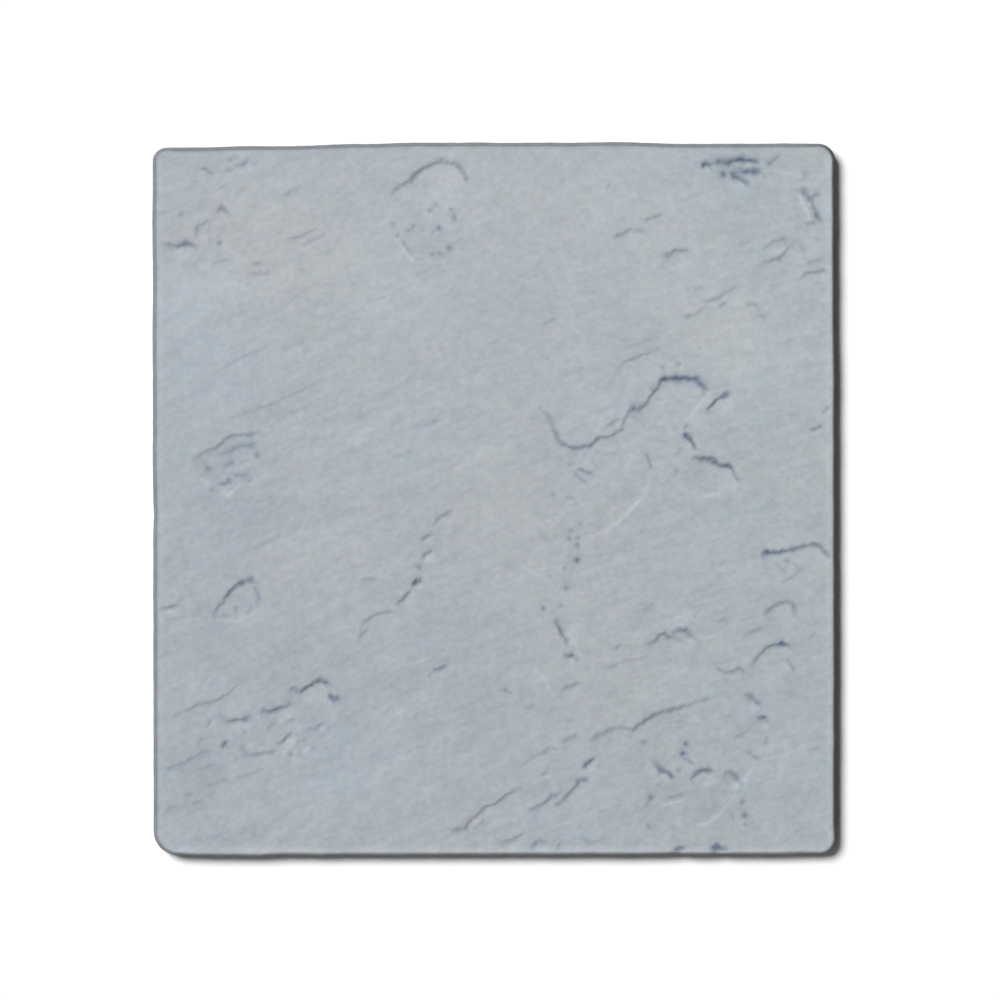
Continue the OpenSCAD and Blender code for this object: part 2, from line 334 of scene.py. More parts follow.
# %% Steps at the lower right
lower_right = [
    step([(391, -79), (396, -73), (417, -73), (434, -70), (453, -64), (468, -62), (475, -65),
          (482, -72), (488, -78)], 0.5, [0.75, 1.1, 0.95, 0.65, 0.6, 0.7, 0.8, 0.6]),
    step([(393, -159), (405, -150), (417, -145), (428, -142), (436, -146), (440, -163)], 0.7,
         [0.3, 0.4, 0.4, 0.45, 0.6, 0.35]),
    step([(376, -230), (385, -219), (396, -208), (408, -203), (420, -201), (430, -204)], 1.0,
         [0.3, 0.2, 0.1, 0.15, 0.6, 1.1, 1.1], spread=1.15, bold=2.2),
    step([(221, -203), (233, -198), (242, -189), (249, -187), (253, -192), (262, -192),
          (275, -198)], 0.8, [0.25, 0.3, 0.4, 0.6, 0.35, 0.3]),
    step([(259, -187), (271, -181), (280, -182), (285, -189), (297, -196)], 0.8,
         [0.4, 0.6, 0.65, 0.5, 0.35]),
    step([(142, -335), (154, -328), (166, -322), (177, -319), (191, -319), (201, -322), (220, -308),
          (242, -297), (259, -294), (274, -290), (285, -286), (296, -280)], 0.9,
         [0.65, 0.5, 0.3, 0.2, 0.25, 0.3, 0.35, 0.35, 0.4, 0.3, 0.15], lean=8, spread=1, bold=2.2),
    step([(366, -272), (376, -276), (383, -282), (388, -289)], 1, [0.2, 0.6, 0.7, 0.5]),
    step([(386, -303), (395, -305), (402, -314)], 1.2, [0.5, 0.7, 0.4]),
    step([(231, -361), (234, -370), (242, -378), (252, -382), (261, -389)], 1.2,
         [0.35, 0.45, 0.8, 1.0, 0.9], fall=90, bold=2.2),
    step([(285, -392), (294, -382), (303, -378), (313, -377), (322, -382)], 1.2,
         [0.05, 0.15, 0.7, 0.7, 0.3], bold=2.3),
    step([(337, -379), (347, -379), (353, -388), (361, -399)], 1.2, [0.25, 0.5, 0.6, 0.3]),
    step([(262, -491), (269, -488), (280, -486)], 1.6, [0.8, 0.7, 0.4], bold=2.4),
    step([(318, -487), (325, -484), (332, -487), (339, -491)], 1.5, [0.8, 0.9, 0.85, 0.85],
         bold=2.2),
]
print(len(lower_right), "steps at the lower right")

# %% Steps below the middle
lower_middle = [
    step([(-62, -463), (-52, -460), (-43, -460), (-40, -453), (-33, -446), (-25, -442), (-20, -435),
          (-9, -428), (2, -424), (14, -416), (26, -407), (39, -403)], 0.9,
         [0.6, 0.5, 0.4, 0.15, 0.0, 0.05, 0.1, 0.2, 0.3, 0.3, 0.4], bold=2.3),
    step([(49, -435), (67, -428), (75, -423), (84, -414), (96, -410)], 0.8,
         [0.2, 0.25, 0.25, 0.3, 0.4]),
    step([(90, -428), (102, -417), (110, -409), (116, -402), (121, -396), (126, -391), (135, -391)],
         1, [0.8, 0.2, 0.15, 0.1, 0.7, 0.8]),
    step([(128, -375), (140, -365), (148, -360)], 1.3, [0.6, 0.45, 0.2], bold=2.2),
    step([(1, -473), (13, -479), (23, -476), (32, -472), (42, -467)], 0.7,
         [0.1, 0.2, 0.25, 0.2, 0.2], spread=1.2),
    step([(53, -486), (61, -479), (67, -476), (75, -479)], 0.8, [0.2, 0.25, 0.2, 0.2]),
    step([(-62, -15), (-74, -22), (-82, -26), (-90, -37)], 0.7, [0.3, 0.2, 0.12, 0.06, 0.06],
         fall=90, bold=2.2),
    step([(-90, -47), (-98, -52), (-109, -57)], 0.9, [0.2, 0.15, 0.05], fall=90),
    step([(-91, -71), (-100, -75), (-107, -85)], 0.9, [0.35, 0.15, 0.08], fall=90, bold=2.2),
    step([(-106, -113), (-113, -114), (-122, -120)], 1.5, [0.5, 0.7, 0.6], fall=90, bold=2.6),
    step([(-119, -124), (-130, -136), (-145, -149)], 1, [0.12, 0.15, 0.15], fall=90, bold=2.4),
    step([(-147, -156), (-161, -157), (-176, -161), (-189, -170), (-198, -180)], 0.7,
         [0.4, 0.1, 0.05, 0.07, 0.07], fall=90),
    step([(87, -166), (93, -178), (100, -191), (109, -205)], 1.2, [0.05, 0.5, 0.4, 0.25], fall=90),
    step([(103, -215), (113, -219), (122, -224)], 1.2, [0.3, 0.7, 0.5], bold=2.4),
    step([(96, -268), (104, -262), (113, -261), (125, -255)], 0.7, 0.15),
]
print(len(lower_middle), "steps below the middle")

# %% Steps on the left
left = [
    step([(-298, -266), (-292, -263), (-284, -268), (-272, -262), (-263, -255), (-253, -251),
          (-244, -259)], 1.3, [0.45, 0.45, 0.4, 0.6, 0.65, 0.8, 1.0], bold=2.2),
    step([(-241, -272), (-234, -279), (-227, -276)], 1.2, [0.4, 0.9, 0.7]),
    step([(-342, -298), (-336, -294), (-327, -296), (-313, -291), (-303, -289), (-295, -282)], 1.1,
         [0.35, 0.4, 0.55, 0.55, 0.35, 0.35], bold=2.4),
    step([(-403, -301), (-390, -308), (-379, -308), (-367, -307), (-355, -304)], 1.1,
         [0.35, 0.25, 0.45, 0.6, 0.4], bold=2.6),
    step([(-469, -303), (-456, -297), (-443, -294), (-434, -287), (-421, -284), (-408, -283),
          (-390, -273), (-379, -263), (-363, -252)], 0.6, [0.15, 0.15, 0.12, 0.08, 0.08, 0.05]),
    step([(-370, -343), (-364, -350), (-358, -358), (-346, -356), (-332, -353), (-316, -351)], 0.7,
         [0.35, 0.25, 0.35, 0.3, 0.25], bold=2.3),
    step([(-317, -342), (-309, -339), (-304, -333), (-295, -326)], 1.2, [0.2, 0.05, 0.03, 0.35]),
    step([(-422, -319), (-417, -311), (-409, -304)], 0.8, [0.2, 0.35, 0.2]),
    step([(-487, -152), (-473, -150), (-460, -149)], 0.7, [0.3, 0.35, 0.2]),
    step([(-488, 363), (-475, 356), (-463, 355), (-450, 358), (-437, 354)], 0.6,
         [0.2, 0.3, 0.55, 0.75, 0.7], bold=2.1),
    step([(-437, 368), (-433, 382), (-424, 386), (-414, 393)], 0.6, [0.25, 0.25, 0.05, 0.0]),
    step([(-403, 407), (-398, 411), (-389, 399)], 0.7, [0.4, 0.65, 0.65], bold=2.2),
    step([(-379, 469), (-368, 467), (-361, 473), (-351, 469)], 0.7, [0.15, 0.25, 0.25, 0.2],
         bold=2.2),
]
print(len(left), "steps on the left")

# %% [markdown]
# In three places a whole thin leaf lifted off and left a scallop: a shallow dish with a
# curved edge on its upper left side, which runs out to nothing on the other side. They
# are steps as well, only rounder. The middle one has a second edge inside the first.

# %% Edges of the scallops
scallops = [
    step([(-151, 427), (-138, 438), (-123, 445), (-116, 455), (-103, 463), (-88, 471), (-74, 475),
          (-65, 469), (-58, 471), (-49, 463), (-40, 446)], 0.7,
         [0.35, 0.4, 0.4, 0.5, 0.4, 0.45, 0.4, 0.45, 0.5, 0.5, 0.6], lean=-10),
    step([(-440, 54), (-430, 62), (-418, 68), (-406, 72), (-395, 83), (-383, 90), (-368, 90),
          (-357, 91), (-344, 93)], 0.9, [0.15, 0.15, 0.2, 0.2, 0.25, 0.4, 0.5], lean=8, bold=2.1),
    step([(-415, 68), (-403, 66), (-392, 68), (-380, 73), (-368, 76), (-351, 76)], 1.2,
         [0.15, 0.15, 0.25, 0.4, 0.5, 0.6], spread=1.2, bold=2.2),
    step([(-411, -160), (-400, -147), (-390, -134), (-386, -127), (-377, -120), (-365, -114),
          (-352, -111)], 1.0, [0.5, 0.35, 0.1, 0.8, 0.75, 0.65, 0.9], lean=4, bold=2.4),
]
steps = middle_right + upper_right + lower_right + lower_middle + left + scallops
print(len(scallops), "edges of scallops,", len(steps), "steps in all")

# %% [markdown]
# Finer marks are left to this mesh alone: hairline steps a few tenths of a millimetre
# high, which the construction model leaves out. The ground falls away from the lamp
# across a dark one and towards the lamp across a pale one, so each needs only a line
# of points and how strong it is. A minus sign says that it is pale. A dark mark is
# painted with shade along its line, and a pale one with a painted highlight.

# %% Fine marks at the upper left
marks = [
    ([(-135, 361), (-126, 349), (-117, 342)], 0.35),
    ([(-144, 363), (-132, 346), (-119, 333)], -0.6), ([(-103, 336), (-88, 329), (-71, 333)], -0.5),
    ([(-157, 388), (-155, 399), (-149, 410)], -0.3), ([(-50, 465), (-44, 456), (-39, 445)], 0.6),
    ([(-63, 406), (-58, 393)], 0.4), ([(-125, 374), (-117, 382)], 0.4),
    ([(-94, 404), (-84, 413)], 0.3), ([(-427, 465), (-418, 459), (-409, 453)], 0.7),
    ([(-393, 459), (-379, 460)], 0.45), ([(-402, 435), (-389, 438)], 0.25),
    ([(-388, 474), (-381, 478), (-374, 476)], 0.5), ([(-460, 396), (-453, 402)], 0.4),
    ([(-491, 400), (-476, 402)], 0.2), ([(-450, 431), (-438, 438)], 0.2),
    ([(-406, 402), (-415, 388), (-418, 372), (-412, 354)], 0.2),
    ([(-311, 421), (-303, 427), (-287, 435)], 0.3), ([(-301, 364), (-281, 369), (-259, 379)], 0.35),
    ([(-281, 356), (-266, 361), (-246, 371)], 0.3), ([(-412, 330), (-400, 332), (-384, 336)], 0.3),
    ([(-354, 329), (-339, 330)], 0.35), ([(-355, 316), (-339, 315), (-325, 319)], 0.35),
    ([(-412, 174), (-371, 198), (-327, 216)], 0.2), ([(-379, 115), (-320, 136), (-266, 159)], 0.2),
    ([(-306, 118), (-266, 133)], 0.2), ([(-380, 37), (-370, 33), (-360, 37)], 0.6),
    ([(-403, 23), (-395, 22), (-384, 26)], 0.8), ([(-360, 24), (-352, 29)], 0.5),
    ([(-395, 47), (-386, 51)], 0.35), ([(-348, 68), (-345, 57)], 0.6),
    ([(-428, 29), (-418, 22)], -0.9), ([(-399, 15), (-389, 6), (-380, 12)], -0.9),
    ([(-377, 15), (-371, 20)], -0.7), ([(-358, 19), (-351, 24)], -0.5),
]
print(len(marks), "fine marks at the upper left")

# %% Fine marks at the lower left
marks += [
    ([(-352, -120), (-346, -131), (-342, -145)], 0.6), ([(-374, -149), (-381, -154)], 0.6),
    ([(-354, -146), (-360, -159)], 0.35), ([(-386, -160), (-399, -163)], 0.3),
    ([(-363, -136), (-371, -145)], 0.2),
    ([(-406, -167), (-392, -171), (-374, -170), (-361, -164), (-349, -157)], -0.5),
    ([(-379, -79), (-342, -64), (-310, -48)], 0.2),
    ([(-193, -113), (-182, -110), (-173, -113)], 0.4),
    ([(-198, -196), (-193, -187), (-183, -181)], 0.4),
    ([(-330, -322), (-325, -312), (-316, -307)], 0.35),
    ([(-307, -312), (-301, -308), (-291, -307)], 0.35), ([(-287, -339), (-275, -335)], 0.4),
    ([(-275, -322), (-260, -319), (-249, -312)], 0.4), ([(-268, -349), (-263, -343)], 0.45),
    ([(-256, -325), (-247, -318)], -0.5), ([(-279, -353), (-266, -344)], -0.6),
    ([(-316, -349), (-310, -354), (-303, -349)], -0.6), ([(-298, -364), (-288, -360)], -0.4),
    ([(-370, -319), (-363, -324)], 0.35), ([(-398, -346), (-390, -338)], 0.9),
    ([(-478, -377), (-450, -367), (-433, -357), (-418, -350)], 0.4),
    ([(-433, -342), (-425, -333)], 0.3), ([(-421, -400), (-403, -395), (-386, -389)], 0.35),
    ([(-377, -389), (-357, -384), (-339, -377)], 0.3), ([(-450, -414), (-441, -409)], 0.35),
    ([(-441, -426), (-425, -421)], 0.35), ([(-484, -437), (-465, -428)], 0.25),
    ([(-430, -378), (-409, -370)], 0.2),
]
print(len(marks), "fine marks so far")

# %% Fine marks at the upper right
marks += [
    ([(459, 420), (474, 428)], 0.8), ([(446, 432), (453, 424), (461, 414)], 0.4),
    ([(221, 389), (233, 395), (245, 399)], 0.5), ([(212, 375), (224, 374)], 0.3),
    ([(275, 254), (291, 258), (309, 268)], 0.5),
    ([(306, 277), (323, 280), (341, 290), (351, 297)], 0.4), ([(328, 270), (339, 276)], 0.5),
    ([(291, 295), (309, 295)], 0.25), ([(370, 274), (380, 272), (391, 263)], 0.35),
    ([(383, 259), (396, 254)], 0.35), ([(358, 274), (367, 263), (376, 252)], -0.35),
    ([(402, 469), (415, 480)], 0.6), ([(271, 417), (309, 430)], 0.15),
    ([(358, 356), (374, 361)], 0.2), ([(427, 354), (423, 365), (408, 361), (392, 349)], 0.4),
    ([(405, 335), (420, 339)], 0.5), ([(455, 330), (478, 335)], 0.4),
    ([(445, 427), (452, 411), (458, 399), (465, 381)], -0.8),
    ([(417, 459), (446, 452), (487, 452)], -0.35), ([(431, 437), (455, 441), (478, 439)], -0.3),
    ([(455, 385), (468, 388)], 0.6), ([(459, 316), (484, 321)], 0.4),
    ([(194, 213), (215, 220), (237, 227)], 0.25), ([(69, 244), (88, 252)], 0.3),
    ([(172, 177), (189, 193), (211, 200)], 0.05),
]
print(len(marks), "fine marks so far")

# %% Fine marks right of the middle
marks += [
    ([(157, 98), (166, 104), (177, 110), (191, 114), (196, 124)], 0.25),
    ([(173, 98), (189, 98)], 0.45), ([(196, 118), (208, 114)], 0.4),
    ([(220, 65), (226, 55), (230, 43)], 0.6), ([(233, 84), (250, 79)], 0.2),
    ([(147, 64), (179, 64)], 0.3), ([(107, 65), (125, 64)], 0.3), ([(122, 43), (144, 36)], 0.7),
    ([(116, 37), (134, 22)], 0.55), ([(142, 52), (151, 48)], 0.3), ([(107, 51), (116, 48)], 0.25),
    ([(272, 73), (265, 61)], 0.25), ([(104, 3), (116, 3)], 0.4), ([(477, 119), (488, 131)], 0.4),
    ([(461, 96), (478, 104)], 0.7), ([(-116, 101), (-97, 105), (-79, 111)], 0.25),
    ([(307, 142), (296, 129), (284, 114)], -0.7), ([(306, 150), (313, 147)], -0.5),
    ([(37, -93), (52, -100), (67, -108), (78, -117), (88, -124)], -0.5),
    ([(58, -38), (81, -29), (103, -22)], -0.3), ([(110, -135), (125, -143), (140, -152)], -0.3),
    ([(129, -51), (147, -50), (161, -45), (179, -29)], -0.35),
    ([(227, 38), (224, 20), (212, 6), (201, -8), (176, -34), (158, -48)], -0.4),
    ([(265, 24), (277, 13), (291, 9), (309, 6), (326, 9), (345, 22)], -0.3),
]
print(len(marks), "fine marks so far")

# %% Fine marks at the lower right
marks += [
    ([(-90, -238), (-82, -238), (-71, -231)], 0.8), ([(-88, -237), (-97, -248)], 0.25),
    ([(13, -265), (18, -266), (26, -270)], 0.6), ([(45, -293), (59, -287)], 0.25),
    ([(176, -209), (185, -203)], 0.5), ([(326, -173), (335, -167), (341, -173)], 0.4),
    ([(217, -156), (233, -143)], 0.3), ([(367, -187), (393, -178)], 0.4),
    ([(427, -224), (439, -240)], 0.5), ([(436, -89), (445, -99), (437, -107), (420, -115)], 0.4),
    ([(411, -90), (424, -101)], 0.3), ([(161, -237), (191, -226), (230, -217)], 0.25),
    ([(458, -195), (468, -189)], 0.35), ([(283, -284), (309, -279)], 0.3),
    ([(323, -234), (329, -238), (338, -242), (350, -241), (358, -236), (364, -244)], 0.6),
    ([(369, -351), (377, -357), (386, -364)], 0.5), ([(350, -333), (373, -321)], 0.3),
    ([(332, -353), (358, -346)], 0.2), ([(459, -351), (475, -346)], 0.35),
    ([(261, -382), (272, -377)], 0.6), ([(253, -304), (268, -301), (285, -303)], 0.25),
    ([(252, -312), (266, -310), (284, -311)], 0.25), ([(249, -321), (264, -317), (280, -319)], 0.2),
    ([(274, -360), (283, -364), (290, -370)], 0.6), ([(252, -416), (264, -414), (277, -412)], 0.5),
    ([(341, -437), (351, -448)], 0.3), ([(220, -430), (226, -421)], 0.4),
    ([(396, -331), (396, -342)], 0.4), ([(234, -400), (243, -396)], 0.4),
    ([(240, -428), (259, -424), (278, -421)], -0.5),
    ([(291, -396), (304, -385), (319, -389)], -0.5),
    ([(388, -367), (369, -385), (357, -398), (347, -419), (335, -433)], -0.35),
    ([(335, -433), (323, -445), (313, -451), (297, -456)], -0.5),
    ([(266, -445), (272, -455)], -0.4),
]
print(len(marks), "fine marks so far")

# %% Fine marks at the lower edge
marks += [
    ([(34, -374), (49, -365), (61, -358)], 0.3),
    ([(61, -358), (72, -353), (84, -347), (91, -351)], 0.4), ([(69, -384), (81, -374)], 0.35),
    ([(140, -374), (154, -372)], 0.25), ([(99, -338), (110, -333), (122, -329)], 0.45),
    ([(-30, -460), (-22, -453), (-15, -448)], 0.45), ([(90, -491), (94, -484), (97, -479)], 0.45),
    ([(126, -472), (142, -480), (154, -477), (166, -469)], 0.35),
    ([(-167, -217), (-149, -224), (-130, -231), (-112, -227), (-94, -220)], -0.4),
    ([(55, -234), (67, -245), (75, -256), (84, -269)], -0.4),
    ([(-37, -465), (-20, -448), (-4, -437)], -0.4), ([(67, -389), (84, -386)], -0.4),
]
marks = [(np.array(line, float) * per_mille, strength) for line, strength in marks]
print(len(marks), "fine marks in all")

# %% [markdown]
# Crumbs came out here and there, mostly in rows along the steps. Each is a small pit,
# painted dark for the dirt in it and for the shade that falls into it: a place, a radius
# in millimetres and how dark it is.

# %% Crumbs
crumbs = [
    (112, -45, 1.9, 0.4), (123, -55, 1.8, 0.45), (122, -64, 1.9, 0.6), (121, -85, 2.2, 0.9),
    (104, -96, 1.8, 0.35), (106, -124, 2.0, 0.55), (97, -149, 1.8, 0.4), (72, -152, 2.0, 0.65),
    (125, -34, 1.7, 0.25), (86, 6, 1.7, 0.35), (-110, -95, 2.0, 0.6), (100, -184, 1.8, 0.4),
    (-117, 382, 1.7, 0.45), (-125, 375, 1.7, 0.45), (-80, 379, 2.1, 0.7), (-63, 404, 1.5, 0.3),
    (-58, 393, 1.9, 0.5), (-65, 351, 2.2, 0.65), (-79, 343, 1.7, 0.45), (-91, 342, 1.5, 0.35),
    (-148, 385, 1.6, 0.4), (-141, 369, 1.6, 0.4), (-417, 43, 2.1, 0.6), (-85, 413, 1.3, 0.3),
    (-93, 404, 1.7, 0.4), (-110, 397, 1.2, 0.2), (-88, 374, 1.5, 0.35), (-40, 448, 1.8, 0.5),
    (-288, 284, 1.2, 0.3), (-246, 272, 1.2, 0.3), (-433, 444, 1.3, 0.3), (-384, 51, 1.9, 0.5),
    (-387, 26, 2.1, 0.6), (-411, 12, 1.5, 0.4), (-345, -143, 1.8, 0.4), (-379, -153, 1.7, 0.45),
    (-400, 358, 2.0, 0.6), (402, 469, 2.0, 0.6), (334, 454, 2.4, 1.0), (383, 458, 2.8, 0.9),
    (455, 453, 2.6, 0.35), (464, 386, 2.4, 0.6), (167, 437, 1.3, 0.35), (363, 474, 3.2, 1.0),
    (309, 469, 2.6, 0.7), (339, 470, 2.4, 0.8), (252, 340, 2.0, 0.6), (415, 336, 2.0, 0.45),
    (224, 390, 1.7, 0.45), (280, 101, 1.8, 0.55), (268, 38, 1.8, 0.4), (246, 185, 1.7, 0.35),
    (269, 189, 1.7, 0.35), (87, 98, 1.6, 0.4), (217, -339, 2.0, 0.55), (233, 152, 1.8, 0.45),
    (203, 127, 2.4, 0.9), (280, -342, 2.2, 0.9), (276, -356, 2.4, 0.95), (229, -417, 2.2, 0.65),
    (363, -424, 1.8, 0.6), (366, -442, 2.0, 0.8), (367, -455, 1.4, 0.35), (361, -399, 1.5, 0.35),
    (309, -280, 1.6, 0.35), (226, -458, 1.8, 0.45), (339, -254, 1.4, 0.3), (294, -163, 1.3, 0.3),
    (427, -86, 2.2, 0.35), (411, -372, 1.4, 0.2), (-393, -342, 2.0, 0.8), (-285, -338, 1.5, 0.3),
    (-297, -357, 1.7, 0.5), (-265, -346, 1.4, 0.3), (-403, -396, 1.7, 0.3),
    (-377, -360, 1.4, 0.2), (15, -392, 1.4, 0.25), (-494, -293, 1.4, 0.5), (18, -266, 1.8, 0.4),
    (123, -394, 2.2, 0.7), (110, -55, 1.8, 0.5), (-245, -256, 2.2, 0.9),
]
print(len(crumbs), "crumbs")

# %% [markdown]
# The face starts as a level grid of square cells. The cells near a step are divided
# twice more, so that the step is sharp where it matters and the mesh stays small
# elsewhere. Doing this on the flat grid first keeps the cells square.


# %% Distance from a line of points
def measure(line, x, y):
    """For every place: distance to the line, signed side (left is positive), share along it."""
    nearest = np.full(x.shape, 1e9)
    side = np.zeros(x.shape)
    share = np.zeros(x.shape)
    lengths = np.linalg.norm(np.diff(line, axis=0), axis=1)
    begun = np.concatenate([[0], np.cumsum(lengths)])
    for k, (start, end) in enumerate(zip(line[:-1], line[1:])):
        ux, uy = (end - start) / lengths[k]
        ax, ay = x - start[0], y - start[1]
        t = np.clip(ax * ux + ay * uy, 0, lengths[k])
        gap = np.hypot(ax - t * ux, ay - t * uy)
        across = ux * ay - uy * ax
        # of two parts of the line that are as near, the one more squarely faced wins
        gap = gap - 0.001 * np.abs(across)
        better = gap < nearest
        nearest = np.where(better, gap, nearest)
        side = np.where(better, across, side)
        share = np.where(better, (begun[k] + t) / begun[-1], share)
    return nearest, side, share


test = measure(np.array([[0.0, 0.0], [10.0, 0.0]]), np.array([5.0]), np.array([2.0]))
print("a place 2 mm left of a line measures", [float(np.round(v[0], 2)) for v in test])

# %% Grid of the face
cell = 2.5
columns, rows = round(2 * half_w / cell), round(2 * half_l / cell)
mesh = bmesh.new()
bmesh.ops.create_grid(mesh, x_segments=columns, y_segments=rows, size=0.5)
bmesh.ops.scale(mesh, vec=(2 * half_w, 2 * half_l, 1), verts=mesh.verts)
print("grid of", columns, "by", rows, "cells,", len(mesh.verts), "points")


# %% Divide the cells that lie near a step
def divide_near(lines, reach):
    centres = np.array([f.calc_center_median()[:2] for f in mesh.faces])
    gap = np.full(len(centres), 1e9)
    for line in lines:
        box_low, box_high = line.min(0) - reach, line.max(0) + reach
        near = ((centres > box_low) & (centres < box_high)).all(1)
        gap[near] = np.minimum(gap[near], measure(line, centres[near, 0], centres[near, 1])[0])
    chosen = {edge for f, g in zip(mesh.faces, gap) if g < reach for edge in f.edges}
    bmesh.ops.subdivide_edges(mesh, edges=sorted(chosen, key=lambda e: e.index), cuts=1,
                              use_grid_fill=True, use_only_quads=False)
    mesh.verts.index_update()
    mesh.edges.index_update()
    mesh.faces.index_update()
    mesh.faces.ensure_lookup_table()


lines = [s["points"] for s in steps] + [line for line, _ in marks]
lines += [np.array([(a - 1, b), (a + 1, b)]) * per_mille for a, b, _, _ in crumbs]
mesh.edges.index_update()
for reach in (3.2, 1.8):
    divide_near(lines, reach)
    print("divided within", reach, "mm of a line:", len(mesh.faces), "faces")

# %% [markdown]
# The square grid is now fitted inside the dressed outline. Only a strip along each side
# moves. Its places are drawn out from an anchor on the inner edge of the strip, so
# that the outermost ones land on the worn arris and the corners become round.

# %% Fit the grid to the outline
arris = 3.0
mesh.verts.ensure_lookup_table()
flat = np.array([v.co[:2] for v in mesh.verts])
core = np.clip(flat, -inner, inner)
out = flat - core
share_out = np.abs(out).max(1) / strip
in_strip = np.flatnonzero(share_out > 1e-6)
for i in in_strip:
    direction = out[i] / np.linalg.norm(out[i])
    reach = side_at(*core[i], *direction) - arris
    flat[i] = core[i] + direction * reach * share_out[i]
print("moved", len(in_strip), "points of the strip")

# %% [markdown]
# Now each place gets its depth below the highest ground. The steps are cut as in the
# construction model: where cuts overlap, the deeper one wins. The places are shifted
# by a little noise before they are measured, which makes every edge ragged. The foot of
# each step is painted dark, for dirt and for the shade below the step. A freshly
# broken edge is crushed and pale, so a faint pale fringe follows each dark foot.

# %% Ragged places, with nothing cut yet
ragged, ragged_size = 0.6, 2.7
x = flat[:, 0] + ragged * unevenness(flat[:, 0], flat[:, 1], ragged_size, 11)
y = flat[:, 1] + ragged * unevenness(flat[:, 0], flat[:, 1], ragged_size, 12)
depth = np.zeros(len(x))
dirt_and_shade = np.zeros(len(x))
glint = np.zeros(len(x))
print("places shifted by up to", round(float(np.abs(x - flat[:, 0]).max()), 2), "mm")


# %% Softness and unevenness of a line
def soft_step(value, width):
    """From 0 to 1 as value rises through zero, over a width in mm."""
    t = np.clip(value / width + 0.5, 0, 1)
    return t * t * (3 - 2 * t)


def broken(share, seed):
    """Strength along a line, from 0.7 to 1.1: a step is never equally sharp all along."""
    return 0.9 + 0.2 * unevenness(share * 10, share * 0 + seed, 1.1, 31)


def knots(share, line, seed):
    """Thicker and thinner by turns along a line, every few millimetres. Even round 1."""
    length = np.linalg.norm(np.diff(line, axis=0), axis=1).sum()
    return 1 + 0.5 * unevenness(share * length, share * 0 + 9 * seed, 3.6, 32)


def chord_of(line):
    """The ends of a line and the direction from the one to the other."""
    start, end = line[0], line[-1]
    return start, end, (end - start) / np.linalg.norm(end - start)


print("a soft step 2 mm wide is at", soft_step(0.5, 2), "half a millimetre beyond its edge")

# %% Cut the steps
# the feet of the steps are painted dark, for dirt and for the shade below each step
foot_out = 0.3     # the dirt lies this far beyond the edge
fringe_out = 3.2   # and the pale fringe this far from the dirt
fringe_ink = 0.25
for number, s in enumerate(steps):
    start, end, chord = chord_of(s["points"])
    turn = math.radians(s["fall"])
    down = np.array([chord[0] * math.cos(turn) - chord[1] * math.sin(turn),
                     chord[0] * math.sin(turn) + chord[1] * math.cos(turn)])
    middle = (start + end) / 2 + s["lean"] * down
    radius = s["spread"] * np.linalg.norm(start - middle)
    near = np.hypot(x - middle[0], y - middle[1]) < radius + 4
    gap, side, share = measure(s["points"], x[near], y[near])
    lower = side * np.sign(s["fall"])
    from_middle = np.hypot(x[near] - middle[0], y[near] - middle[1]) / radius
    bowl = s["depth"] * np.clip(1 - from_middle ** 2, 0, 1)
    depth[near] = np.maximum(depth[near], bowl * soft_step(lower, 2.1 + 0.85 * s["depth"]))
    taper = 0.6 + 0.4 * np.clip(np.minimum(share, 1 - share) * 16, 0, 1)
    knot = knots(share, s["points"], number)
    past_end = np.maximum(gap - abs(lower), 0)
    strong = np.interp(share, np.linspace(0, 1, len(s["dirt_and_shade_ink"])), s["dirt_and_shade_ink"])
    strong = strong * taper * broken(share, number) * (0.55 + 0.45 * knot)
    width = s["bold"] * (0.3 + 0.7 * knot) * (0.93 + 0.2 * strong)
    # dirt and painted shade in the foot of the step
    foot = np.exp(-((lower - foot_out) / width) ** 2 - past_end ** 2)
    dirt_and_shade[near] = np.maximum(dirt_and_shade[near], strong * foot)
    off_fringe = abs(lower - foot_out) - fringe_out
    fringe = np.exp(-(off_fringe / 1.2) ** 2 - (past_end / 0.7) ** 2)
    glint[near] = np.maximum(glint[near], fringe_ink * strong * fringe)
print("deepest cut", round(depth.max(), 2), "mm, dirty places", int((dirt_and_shade > 0.3).sum()))

# %% Cut the fine marks
away_from_lamp = np.array([-math.cos(key_turn), -math.sin(key_turn)])
mark_shade_and_highlight = 0.8
mark_depth = 0.55
for number, (line, strength) in enumerate(marks):
    start, end, chord = chord_of(line)
    right = np.array([chord[1], -chord[0]])
    falls_right = (right @ away_from_lamp > 0) != (strength < 0)
    middle, reach = (start + end) / 2, np.linalg.norm(end - start) / 2 + 10
    near = np.hypot(x - middle[0], y - middle[1]) < reach
    gap, side, share = measure(line, x[near], y[near])
    lower = -side if falls_right else side
    past_end = np.maximum(gap - abs(lower), 0)
    taper = np.clip(np.minimum(share, 1 - share) * 5 + 0.4, 0, 1) * np.exp(-(past_end / 0.8) ** 2)
    strong = mark_shade_and_highlight * abs(strength) * taper * broken(share, 90 + number)
    fade = np.exp(-np.clip(lower, 0, None) / 3.5)
    sunk = mark_depth * strong * soft_step(lower, 1.6) * fade
    depth[near] = np.maximum(depth[near], depth[near] * 0.6 + sunk)
    # a dark mark is painted shade, a pale one a painted highlight
    mark_shade_or_highlight = strong * np.exp(-((lower - 0.2) / 1.5) ** 2)
    if strength < 0:
        glint[near] = np.maximum(glint[near], mark_shade_or_highlight)
    else:
        dirt_and_shade[near] = np.maximum(dirt_and_shade[near], mark_shade_or_highlight)
print("dirty places", int((dirt_and_shade > 0.3).sum()), "glinting places", int((glint > 0.2).sum()))

